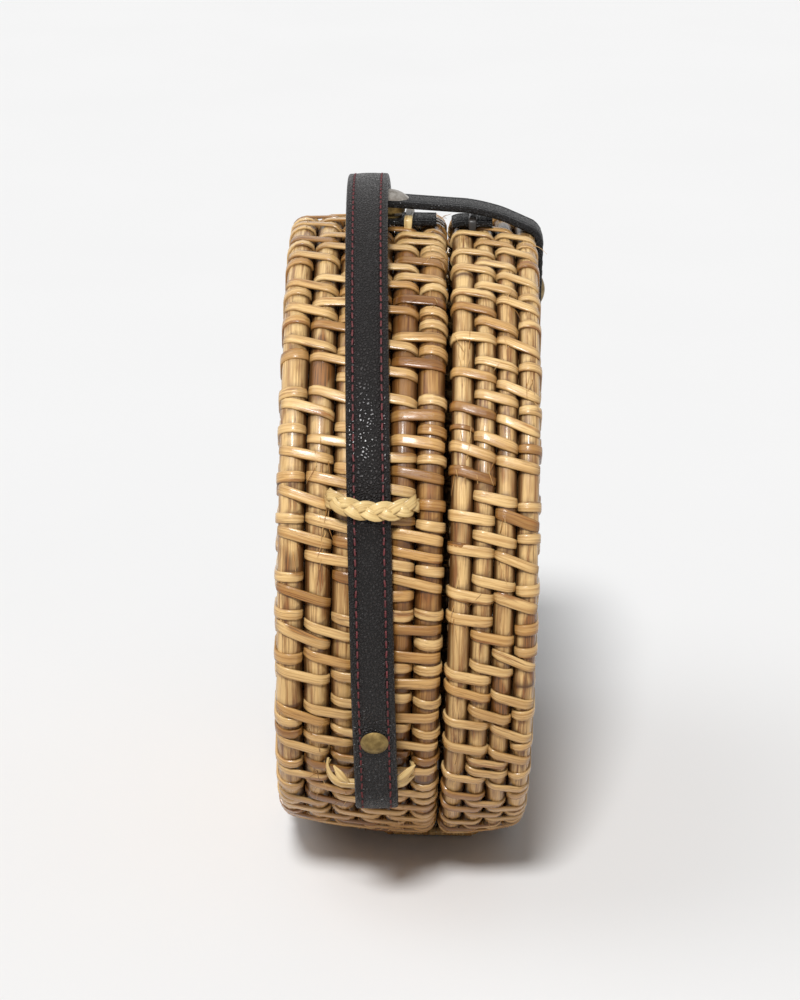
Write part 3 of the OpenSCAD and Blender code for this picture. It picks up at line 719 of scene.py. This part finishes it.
b = Builder()
wall_rods(b, BODY_X, BODY_RODS, BODY_SHADES, body_rows, BODY_X[0], 100)
face_rods(b, BODY_X[0], BODY_TURN, BODY_FACE_ROD, BODY_PITCH, -1, 5)
body_canes = b.make("body_canes", CANE, "cane")
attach(body_canes, "body")
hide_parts("body_coil")
b = Builder()
wall_rods(b, LID_X, LID_RODS, LID_SHADES, lid_rows, LID_X[-1], 200)
face_rods(b, LID_X[-1], LID_TURN, LID_FACE_ROD, LID_PITCH, 1, 9)
lid_canes = b.make("lid_canes", CANE, "cane")
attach(lid_canes, "lid")
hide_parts("lid_coil")

# Binding

# How far a strip lies off its cane, how deep its ends are tucked in, and the painted shade at its ends and
# edges
STRIP_LIFT, STRIP_TUCK, STRIP_END_SHADE = 0.06, 0.5, 0.75
# Angles round a cane's section where a strip bends: over two canes of a wall, under them, hooked round
# the lid's first cane, round a rim, into the body's mouth, over two turns of a face, and a thin end
OVER_LEFT, OVER_RIGHT = (162, 144, 126, 108, 90), (90, 72, 54, 36, 18)
UNDER_LEFT, UNDER_RIGHT = (204, 226, 248, 270), (270, 292, 314, 336)
HOOK = (215, 195, 180)
RIM_FACE, RIM_WALL = (246, 228, 210, 192, 180), (180, 160, 138, 115, 90, 65, 42, 20)
MOUTH = (160, 138, 115, 90, 65, 40, 15, -15, -50)
FACE_IN, FACE_OUT = (252, 228, 204, 180), (180, 156, 132, 108)
THIN_END = (200, 180, 158, 135, 112, 90, 68, 45, 20)
# Room that strips leave beside the hinge loops, across and in degrees, and beside the closure
LOOP_ROOM_X, LOOP_ROOM_A, CLOSURE_ROOM = 2, 4.2, 0.3
# Distance between the strips of a face, round its turns
FACE_STEP = 14.5


def strip_shade(shadow_dim=0.0):
    """A random shade for a strip, a few strips brown, lowered by any painted shadow given."""
    bright = rng.uniform(0.03, 0.25) if rng.random() < 0.08 else rng.betavariate(2.4, 1.2)
    return max(0.0, bright - shadow_dim)


def wrap_run(builder, corners, a, slant, half_w=None, shade=None):
    """One strip over canes: corners are (across, centre outwards, cane radius, angle) in order."""
    mid = 0.5 * (corners[0][0] + corners[-1][0])
    half_w = half_w or STRIP_W / 2 * rng.uniform(0.86, 1.08)
    bow = rng.uniform(-0.5, 0.5)
    path, outs = [], []
    last = len(corners) - 1
    for i, (cx, cr, rod, g) in enumerate(corners):
        g = radians(g)
        q = rod + STRIP_LIFT - (STRIP_TUCK if i in (0, last) else 0.0)
        x = cx + q * cos(g)
        r = cr + q * sin(g)
        t = 2 * i / last - 1
        at = a + rim_deg((x - mid) * tan(radians(slant)) + bow * (1 - t * t))
        path.append(coil_point(x, r, at))
        outs.append(cos(g) * X_DIR + sin(g) * out_dir(at))
    builder.band(np.array(path), outs, half_w, STRIP_T * rng.uniform(0.9, 1.08),
                 shade=strip_shade() if shade is None else shade, end_and_edge_shade=STRIP_END_SHADE)


def on_cane(x, rod, angles):
    """Corners of a strip round a wall cane."""
    return [(x, RIM - STRIP_T - rod, rod, g) for g in angles]


def under_loop(a, x):
    """Whether a strip at this place comes under a hinge loop."""
    between = LOOP_X[0] - LOOP_ROOM_X < x < LOOP_X[1] + LOOP_ROOM_X
    return between and any(abs(turned(a - 180 - s * LOOP_A)) < LOOP_ROOM_A for s in (-1, 1))


def under_closure(a, r=RIM):
    """Whether a strip at this place comes under the closure strap."""
    a = radians(a)
    return cos(a) > 0 and abs(sin(a)) * r < CLOSURE_W / 2 + STRIP_W / 2 + CLOSURE_ROOM


def wall_strips(outer, inner, row, hooked=False, last=False, shadow_dim=0.0):
    """Strips over two turns of a wall, and the runs that join them inside."""
    (x0, x1), (rod0, rod1) = row.xs, row.rods
    left = HOOK + OVER_LEFT[1:] if hooked else OVER_LEFT
    over = on_cane(x0, rod0, left) + on_cane(x1, rod1, OVER_RIGHT)
    under = on_cane(x0, rod0, UNDER_LEFT) + on_cane(x1, rod1, UNDER_RIGHT)
    for a, slant in zip(row.a, row.slant):
        if under_loop(a, row.mid) or (last and under_closure(a + rim_deg(1))):
            continue
        wrap_run(outer, over, a, slant, shade=strip_shade(shadow_dim))
        wrap_run(inner, under, a + 2, -slant * 0.6)


def edge_strips(outer, row, turn, face_rod, pitch, side):
    """Strips from the rim's last cane round onto the face's first clear turn, side 1 at the lid."""
    for a in row.a:
        if side > 0 and under_closure(a):
            continue
        part = spiral_part(a, side)
        face_turn = turn - pitch * (part if part > 0.5 else part + 1)
        corners = [(row.mid, face_turn, face_rod, g) for g in RIM_FACE]
        corners += on_cane(row.mid, row.rods[0], RIM_WALL)
        if side > 0:
            corners = [(x, r, rod, 180 - g) for x, r, rod, g in corners]
        wrap_run(outer, corners, a, rng.gauss(0, 0.8))


def mouth_strips(outer, row):
    """Strips round the body's last cane, from the valley beside it into its mouth."""
    for a, slant in zip(row.a, row.slant):
        if not under_loop(a, row.mid):
            wrap_run(outer, on_cane(row.mid, row.rods[0], MOUTH), a, slant)


def face_strips(outer, inner, x, turn, rod, pitch, side):
    """Strips over neighbouring turns of a face, from the rim to its middle, outside and inside."""
    k = 0
    while turn - (k + 1) * pitch > rod * 1.2:
        r_out, r_in = turn - k * pitch, turn - (k + 1) * pitch
        n = max(5, int(round(pi * (r_out + r_in) / FACE_STEP)))
        first = rng.uniform(0, 360)
        for j in range(n):
            a = first + (j + rng.gauss(0, 0.07)) * 360 / n
            part = spiral_part(a, side)
            drop = pitch * part
            if k == 0 and part < 0.5:
                continue
            slope = tan(radians(rng.gauss(9, 3)))
            covered = side > 0 and r_out > RIM - FACE_DROP - pitch and under_closure(a, r_in - drop)
            for builder, back in ((outer, False), (inner, True)):
                if covered and not back:
                    continue
                path, outs = [], []
                for rc, gs in ((r_in, FACE_IN), (r_out, FACE_OUT)):
                    for g in gs:
                        turned_g = radians(180 - g if back == (side < 0) else g)
                        q = rod + STRIP_LIFT - (STRIP_TUCK if g in (FACE_IN[0], FACE_OUT[-1]) else 0)
                        r = rc - drop + q * sin(turned_g)
                        at = a + degrees((r - (r_in + r_out) / 2) * slope / max(12.0, r))
                        path.append(coil_point(x + q * cos(turned_g), max(1.5, r), at))
                        outs.append(cos(turned_g) * X_DIR + sin(turned_g) * out_dir(at))
                half_w = STRIP_W / 2 * rng.uniform(0.85, 1.05) * (1 if r_in > 20 else 0.7)
                builder.band(np.array(path), outs, half_w, STRIP_T, shade=strip_shade(), end_and_edge_shade=STRIP_END_SHADE)
        k += 1


body_out, body_in, lid_out, lid_in = Builder(), Builder(), Builder(), Builder()
edge_strips(body_out, body_rows[0], BODY_TURN, BODY_FACE_ROD, BODY_PITCH, -1)
# The strap's shadow is painted on the rows towards the mouth
for row, shadow_dim in zip(body_rows[1:-1], STRAP_SHADOW_DIMS):
    wall_strips(body_out, body_in, row, shadow_dim=shadow_dim)
mouth_strips(body_out, body_rows[-1])
face_strips(body_out, body_in, BODY_X[0], BODY_TURN, BODY_FACE_ROD, BODY_PITCH, -1)
for i, row in enumerate(lid_rows[:-1]):
    wall_strips(lid_out, lid_in, row, hooked=i == 0, last=i == LID_CANES - 2)
edge_strips(lid_out, lid_rows[-1], LID_TURN, LID_FACE_ROD, LID_PITCH, 1)
face_strips(lid_out, lid_in, LID_X[-1], LID_TURN, LID_FACE_ROD, LID_PITCH, 1)
# Thin brown ends of strip, wound round the lid's first cane only, at these angles
THIN_AT = (54, 61, 74, 83, 140, 215, 300)
for a in THIN_AT:
    wrap_run(lid_out, on_cane(LID_X[0], LID_RODS[0], THIN_END), a, rng.gauss(10, 4), half_w=0.75, shade=0.05)
# Tufts of loose fibre on each shell, and the radius of a fibre at its foot and tip
BODY_TUFTS, LID_TUFTS = 60, 36
FIBRE_FOOT, FIBRE_TIP = 0.16, 0.05


def frayed(builder, xs, rods, places):
    """Tufts of thin fibre that have come loose from the canes."""
    for _ in range(places):
        i = rng.randrange(len(xs))
        a = rng.uniform(0, 360)
        for _ in range(rng.randint(2, 6)):
            foot = (xs[i] + rods[i] * rng.uniform(-0.7, 0.7), a + rim_deg(rng.gauss(0, 2.5)))
            lean_x, reach = rng.gauss(0, 2.0), rim_deg(rng.choice((-1, 1)) * rng.uniform(3, 9))
            pts = [coil_point(foot[0] + lean_x * t, RIM - STRIP_T + h, foot[1] + reach * t)
                   for t, h in ((0, -1.5), (0.35, 0.3), (0.7, 0.9), (1, rng.uniform(0.5, 1.5)))]
            path = smoothed(pts, 3)
            builder.tube(path, X_DIR, out_dir(a), np.linspace(FIBRE_FOOT, FIBRE_TIP, len(path)), 4,
                         shade=rng.choice((0.1, 0.5, 1.0)))


frayed(body_out, BODY_X, BODY_RODS, BODY_TUFTS)
frayed(lid_out, LID_X, LID_RODS, LID_TUFTS)
for name, builder, body, node in (
        ("body_strips", body_out, "body", "body_binding"), ("body_inner_strips", body_in, "body", None),
        ("lid_strips", lid_out, "lid", "lid_binding"), ("lid_inner_strips", lid_in, "lid", None)):
    o = builder.make(name, STRIP, "binding")
    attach(o, body)
    if node:
        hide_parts(node)

# Braided keepers

# How far the strands rise and dip, how high the strap lies over the binding, and the room over it
BRAID_RELIEF, STRAP_OVER, KEEPER_ROOM = 0.8, 1.9, 0.3


def braid(builder, path, side, width, strand_w, strand_t, waves):
    """A flat three-strand braid along path, its width along side."""
    fine = smoothed(path, 10)
    s = run_length(fine)
    head = headings(fine)
    steps = int(waves * 14)
    for k in range(3):
        pts, outs = [], []
        for i in range(steps + 1):
            d = s[-1] * i / steps
            ph = 2 * pi * (waves * i / steps + k / 3)
            o = unit(np.cross(side, along(head, s, d)))
            narrow = min(1.0, 0.5 + min(d, s[-1] - d) / 6.0)
            pts.append(along(fine, s, d) + side * ((width - strand_w) / 2 * sin(ph) * narrow)
                       + o * (BRAID_RELIEF * sin(2 * ph)))
            outs.append(o)
        # Painted shade darkens each strand's ends and its edges, where the strands cross
        builder.band(np.array(pts), outs, strand_w / 2, strand_t, shade=rng.uniform(0.75, 1.0), ends=0.8,
                     end_and_edge_shade=0.9)


KEEPER_TOP = RIM + STRAP_OVER + STRAP_T / 2 + KEEPER_ROOM
for side, name in ((1, "left"), (-1, "right")):
    x0, x1 = VALLEYS
    lift = [(x0 - 0.4, 97.8, -1.4), (x0 - 1.0, 100.6, -1.2), (x0 + 1.4, KEEPER_TOP - 0.5, -0.3),
            (x0 + 5.0, KEEPER_TOP + 0.4, 0.6), (STRAP_X - 1.0, KEEPER_TOP + 0.6, 1.1),
            (x1 - 6.0, KEEPER_TOP + 0.4, 0.9), (x1 - 2.2, KEEPER_TOP - 0.6, 0.2), (x1 - 0.4, 100.8, -0.3),
            (x1 - 0.2, 97.8, -0.4)]
    b = Builder()
    path = np.array([rim_point(x, r, side * (KEEPER_A + da)) for x, r, da in lift])
    braid(b, path, tangent(side * KEEPER_A), width=6.0, strand_w=3.1, strand_t=0.6, waves=2.3)
    o = b.make(name + "_keeper", PALE, "pale_cane")
    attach(o, "body")
    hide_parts(name + "_strap_keeper")

# Anchors: a twist of split cane through the strap's fold, with cut ends that stick out beside it

# Cut ends of an anchor: start and tip, each as (across, degrees past the anchor)
LEAVES = [((-15.6, -0.4), (-20.6, -2.6)), ((-15.8, 0.3), (-21.0, 0.3)), ((-3.6, -0.6), (3.4, -3.2)),
          ((-3.6, 0.0), (3.2, -0.4)), ((-3.8, 0.4), (-1.6, 1.6))]
for side, name in ((1, "left"), (-1, "right")):
    a = side * ANCHOR_A
    x0, x1 = VALLEYS
    bar = RIM + ANCHOR_OVER
    b = Builder()
    for k, (da, lift) in enumerate(((-0.45, 0.35), (0.4, -0.3), (0.05, 0.85))):
        pts = [rim_point(x, r, a + da * side) for x, r in (
            (x0 - 0.3 + k * 0.3, 97.2), (x0 - 0.4, 100.5), (x0 + 1.6, bar - 1.5 + lift * 0.4),
            (x0 + 5.0, bar - 0.7 + lift), (STRAP_X, bar - 0.6 + lift), (x1 - 5.0, bar - 0.7 + lift),
            (x1 - 1.6, bar - 1.5 + lift * 0.4), (x1 + 0.4, 100.5), (x1 + 0.3 - k * 0.3, 97.2))]
        path = smoothed(pts, 5)
        outs = [unit(p - (HUB + STRAP_X * X_DIR + out_dir(a) * 98)) for p in path]
        # Painted shade darkens the twist's ends and edges
        b.band(path, outs, half_w=1.1, thick=0.75, shade=rng.uniform(0.6, 1.0), end_and_edge_shade=0.5)
    for (sx, sa), (tx, ta) in LEAVES:
        start = rim_point(sx, bar + 0.3, a + side * sa)
        tip = rim_point(tx, RIM + 2.6, a + side * ta)
        path = smoothed([start, (start + tip) / 2 + out_dir(a) * 1.2, tip], 4)
        b.band(path, [out_dir(a)] * len(path), half_w=1.5, thick=0.45, shade=rng.uniform(0.8, 1.0), ends=0.1)
    o = b.make(name + "_anchor", PALE, "pale_cane")
    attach(o, "body")
    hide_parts(name + "_strap_anchor")

# Hinge loops: canes under both shells, whipped with thin strip

# Canes of a loop under the shells and inside them: places side by side, and radius
LOOP_CANES, LOOP_CANE_R = (-2.9, -0.95, 0.95, 2.9), 1.05
INNER_CANES, INNER_CANE_R = (-2.4, 0, 2.4), 1.0
# Turns of the whipping, its distance from the hub, and its half width and half height
WHIP_TURNS, WHIP_AT, WHIP_W, WHIP_H = 12, 100.6, 4.15, 1.22
for side, name in ((-1, "left"), (1, "right")):
    a = 180 + side * LOOP_A
    b = Builder()
    x0, x1 = LOOP_X
    mid = (x0 + x1) / 2
    across = tangent(a)
    loop = [(x0, 88.8), (x0, 92), (x0, 96), (x0 + 0.3, 99.2), (x0 + 2.2, 100.6), (mid - 5, 100.7),
            (mid + 5, 100.7), (x1 - 2.2, 100.6), (x1 - 0.3, 99.2), (x1, 96), (x1, 92), (x1, 88.8)]
    for off in LOOP_CANES:
        path = smoothed([rim_point(x, r, a) + across * off for x, r in loop], 4)
        outs = [unit(np.cross(across, h)) for h in headings(path)]
        b.tube(path, across, outs, LOOP_CANE_R, 8, shade=rng.uniform(0.4, 0.8))
    inside = smoothed([rim_point(x, 88.9, a) for x in (x0 - 0.8, mid, x1 + 0.8)], 6)
    for off in INNER_CANES:
        b.tube(inside + across * off, across, out_dir(a), INNER_CANE_R, 8, shade=rng.uniform(0.4, 0.8))
    for k in range(WHIP_TURNS):
        x = x0 + 2.6 + (x1 - x0 - 5.2) * k / (WHIP_TURNS - 1) + rng.uniform(-0.2, 0.2)
        ring = np.array([rim_point(x + 0.5 * sin(g), WHIP_AT + WHIP_H * cos(g), a)
                         + across * (WHIP_W * sin(g)) for g in np.linspace(0, 2 * pi, 17)])
        outs = [unit(p - rim_point(x, WHIP_AT, a)) for p in ring]
        b.band(ring, outs, half_w=1.05, thick=0.42, shade=strip_shade() * 0.9, ends=1.0)
    o = b.make(name + "_hinge_loop", STRIP, "pale_cane")
    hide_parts("hinge_loop_" + name)
    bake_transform(o)

# Closure: one leather strap from its rounded free end, over the lid's edge and down its face


def arc(cx, cr, r, a0, a1, n):
    """Places on an arc in the plane across the bag's thickness."""
    return [(cx + r * cos(radians(a0 + (a1 - a0) * i / n)),
             cr + r * sin(radians(a0 + (a1 - a0) * i / n))) for i in range(n + 1)]


def at_top(points):
    """Places over the hub, from (across, height)."""
    return np.array([HUB + x * X_DIR + (0, 0, z) for x, z in points])


def rounded_end(radius, length=None):
    """The share of a strap's width along it: round at its start, and at its end if it has a length."""
    def width_at(s):
        d = s if length is None else min(s, length - s)
        return 1.0 if d >= radius else max(0.12, sqrt(max(0.0, 1 - (1 - d / radius) ** 2)))
    return width_at


END_STEPS = (0, 0.15, 0.5, 1.2, 2.2, 3.6, 5.2, 7.0)
slope = (BEND[1] - FLAP_END[1]) / (BEND[0] - FLAP_END[0])
flap = [(FLAP_END[0] + d, FLAP_END[1] + d * slope) for d in END_STEPS + (10, 14, 18, 22, 26, 30, 34)]
corner = CLOSURE_T / 2 + 0.2 + LID_CANE_D / 2
face_x = LID_X[-1] + corner
root = [BEND, (BEND[0] + 4, BEND[1] - 0.6), (BEND[0] + 8, BEND[1] - 1.5), (BEND[0] + 12, BEND[1] - 2.7)]
root += arc(LID_X[-1], LID_TURN, corner, 66, 0, 8)
root += [(face_x, LID_TURN - d) for d in (4, 8, 12)]
root += [(face_x, LID_TURN - FACE_DROP + d) for d in reversed(END_STEPS)]
closure_line = at_top(smoothed(flap + root, 2))
b = Builder()
leather_strip(b, closure_line, Y_DIR, CLOSURE_W / 2, CLOSURE_T / 2, TAB_GROOVE,
              rounded_end(CLOSURE_W / 2, float(run_length(closure_line)[-1])))
closure = b.make("closure_strap", TAB_LEATHER, "tab_leather")
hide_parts("closure_flap", "closure_root")
b = Builder()
stitches(b, closure_line, Y_DIR, TAB_GROOVE, CLOSURE_T / 2, pitch=3.1, length=2.2, width=0.62,
         start=7, stop=7)
closure_stitching = b.make("closure_stitching", BLACK_THREAD, "tab_leather")
for o in (closure, closure_stitching):
    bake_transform(o)

# Tabs under the closure, with their ties

TAB_Z = RIM + 0.2 + TAB_T / 2
tab_start = -TAB_REACH - CLOSURE_W / 2
b = Builder()
tab_x = [tab_start + d for d in END_STEPS + (10, 14, 18, 22)] + [BODY_X[-1] + 1]
leather_strip(b, at_top(smoothed([(x, TAB_Z) for x in tab_x], 2)), Y_DIR, CLOSURE_W / 2, TAB_T / 2,
              TAB_GROOVE, rounded_end(CLOSURE_W / 2))
body_tab = b.make("body_tab_leather", TAB_LEATHER, "tab_leather")
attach(body_tab, "body")
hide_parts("body_tab")
b = Builder()
leather_strip(b, at_top(arc(LID_X[0], LID_TURN, TAB_Z - LID_TURN, 122, 90, 5)
                        + [(LID_X[0] + d, TAB_Z) for d in (2, 4, 6)] + [(LID_X[1] + 2.7, TAB_Z)]),
              Y_DIR, CLOSURE_W / 2, TAB_T / 2, TAB_GROOVE)
lid_tab = b.make("lid_tab_leather", TAB_LEATHER, "tab_leather")
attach(lid_tab, "lid")
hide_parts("lid_tab")

half = CLOSURE_W / 2 + 0.2
for name, body, node, ties in (("body_ties", "body", "body_tab_ties", BODY_TIE_X),
                               ("lid_ties", "lid", "lid_tab_tie", LID_TIE_X)):
    b = Builder()
    for x in ties:
        over = TAB_Z + TAB_T / 2 + 0.35
        pts = [(-half - 0.5, 97.8), (-half - 0.35, 99.6), (-half - 0.1, over - 0.7),
               (-half + 0.9, over - 0.1), (0, over), (half - 0.9, over - 0.1),
               (half + 0.1, over - 0.7), (half + 0.35, 99.6), (half + 0.5, 97.8)]
        skew = -3.4 if x > 0 and body == "body" else 0.0
        path = HUB + smoothed([(x + 0.35 * y / half + skew, y, z) for y, z in pts], 4)
        middle = HUB + (x, 0, 95)
        outs = [np.cross(h, X_DIR) for h in headings(path)]
        outs = [o if np.dot(o, p - middle) > 0 else -o for o, p in zip(outs, path)]
        b.band(path, outs, half_w=1.25, thick=0.8, shade=rng.uniform(0.8, 1.0))
    o = b.make(name, PALE if body == "body" else BLACK_CANE, "pale_cane")
    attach(o, body)
    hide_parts(node)

# CAD metal keeps its shape and takes the aged finish
for node in ("left_strap_rivet", "right_strap_rivet", "closure_rivet",
             "snap_socket", "snap_stud", "snap_cap"):
    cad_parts[node].data.materials.clear()
    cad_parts[node].data.materials.append(NICKEL if node == "snap_cap" else BRASS)

# Floor and light

# The floor is pale where it is seen, and sends less and warmer light back up; its sizes are in metres
FLOOR_SEEN, FLOOR_BOUNCE = 0.83, (0.55, 0.45, 0.34)
FLOOR_SIDE, FLOOR_NEAR, FLOOR_FAR = 6, -4, 9


def seen_ray(tree):
    """1 for rays that show the background: to the camera, in reflections and through clear things."""
    rays = tree.nodes.new("ShaderNodeLightPath").outputs
    shown = rays["Is Camera Ray"]
    for kind in ("Is Glossy Ray", "Is Transmission Ray"):
        either = tree.nodes.new("ShaderNodeMath")
        either.operation = "MAXIMUM"
        tree.links.new(shown, either.inputs[0])
        tree.links.new(rays[kind], either.inputs[1])
        shown = either.outputs["Value"]
    return shown


floor_mesh = bpy.data.meshes.new("floor")
floor_mesh.from_pydata([(-FLOOR_SIDE, FLOOR_NEAR, 0), (FLOOR_SIDE, FLOOR_NEAR, 0), (FLOOR_SIDE, FLOOR_FAR, 0),
                        (-FLOOR_SIDE, FLOOR_FAR, 0)], [], [(0, 1, 2, 3)])
floor = place("floor", floor_mesh)
floor_mat, tree, bsdf = new_material("floor_paper", 0.9, Specular_IOR_Level=0.0)
paper = noise(tree, tree.nodes.new("ShaderNodeTexCoord").outputs["Object"], 6, 2)
seen = ramp(tree, paper, [(0.3, grey(FLOOR_SEEN)), (0.7, grey(FLOOR_SEEN + 0.01))])
tree.links.new(mix(tree, seen_ray(tree), FLOOR_BOUNCE, seen), bsdf.inputs["Base Color"])
floor_mesh.materials.append(floor_mat)


def soft_sun(name, azimuth, elevation, spread, strength):
    """A wide distant light; its azimuth is counted from the camera's side towards the lid."""
    data = bpy.data.lights.new(name, "SUN")
    data.angle = radians(spread)
    data.energy = strength
    o = place(name, data)
    az, el = radians(azimuth), radians(elevation)
    where = Vector((sin(az) * cos(el), -cos(az) * cos(el), sin(el)))
    o.rotation_euler = (-where).to_track_quat("-Z", "Y").to_euler()


soft_sun("front", azimuth=-11, elevation=50, spread=12, strength=2.8)
soft_sun("left", azimuth=-85, elevation=50, spread=45, strength=0.6)
WORLD_SEEN, WORLD_LIGHT = 0.93, 0.27
world = bpy.data.worlds.new("studio")
world.use_nodes = True
tree = world.node_tree
tree.links.new(mix(tree, seen_ray(tree), grey(WORLD_LIGHT), grey(WORLD_SEEN)),
               tree.nodes["Background"].inputs["Color"])
bpy.context.scene.world = world
bpy.context.scene.view_settings.view_transform = "Standard"
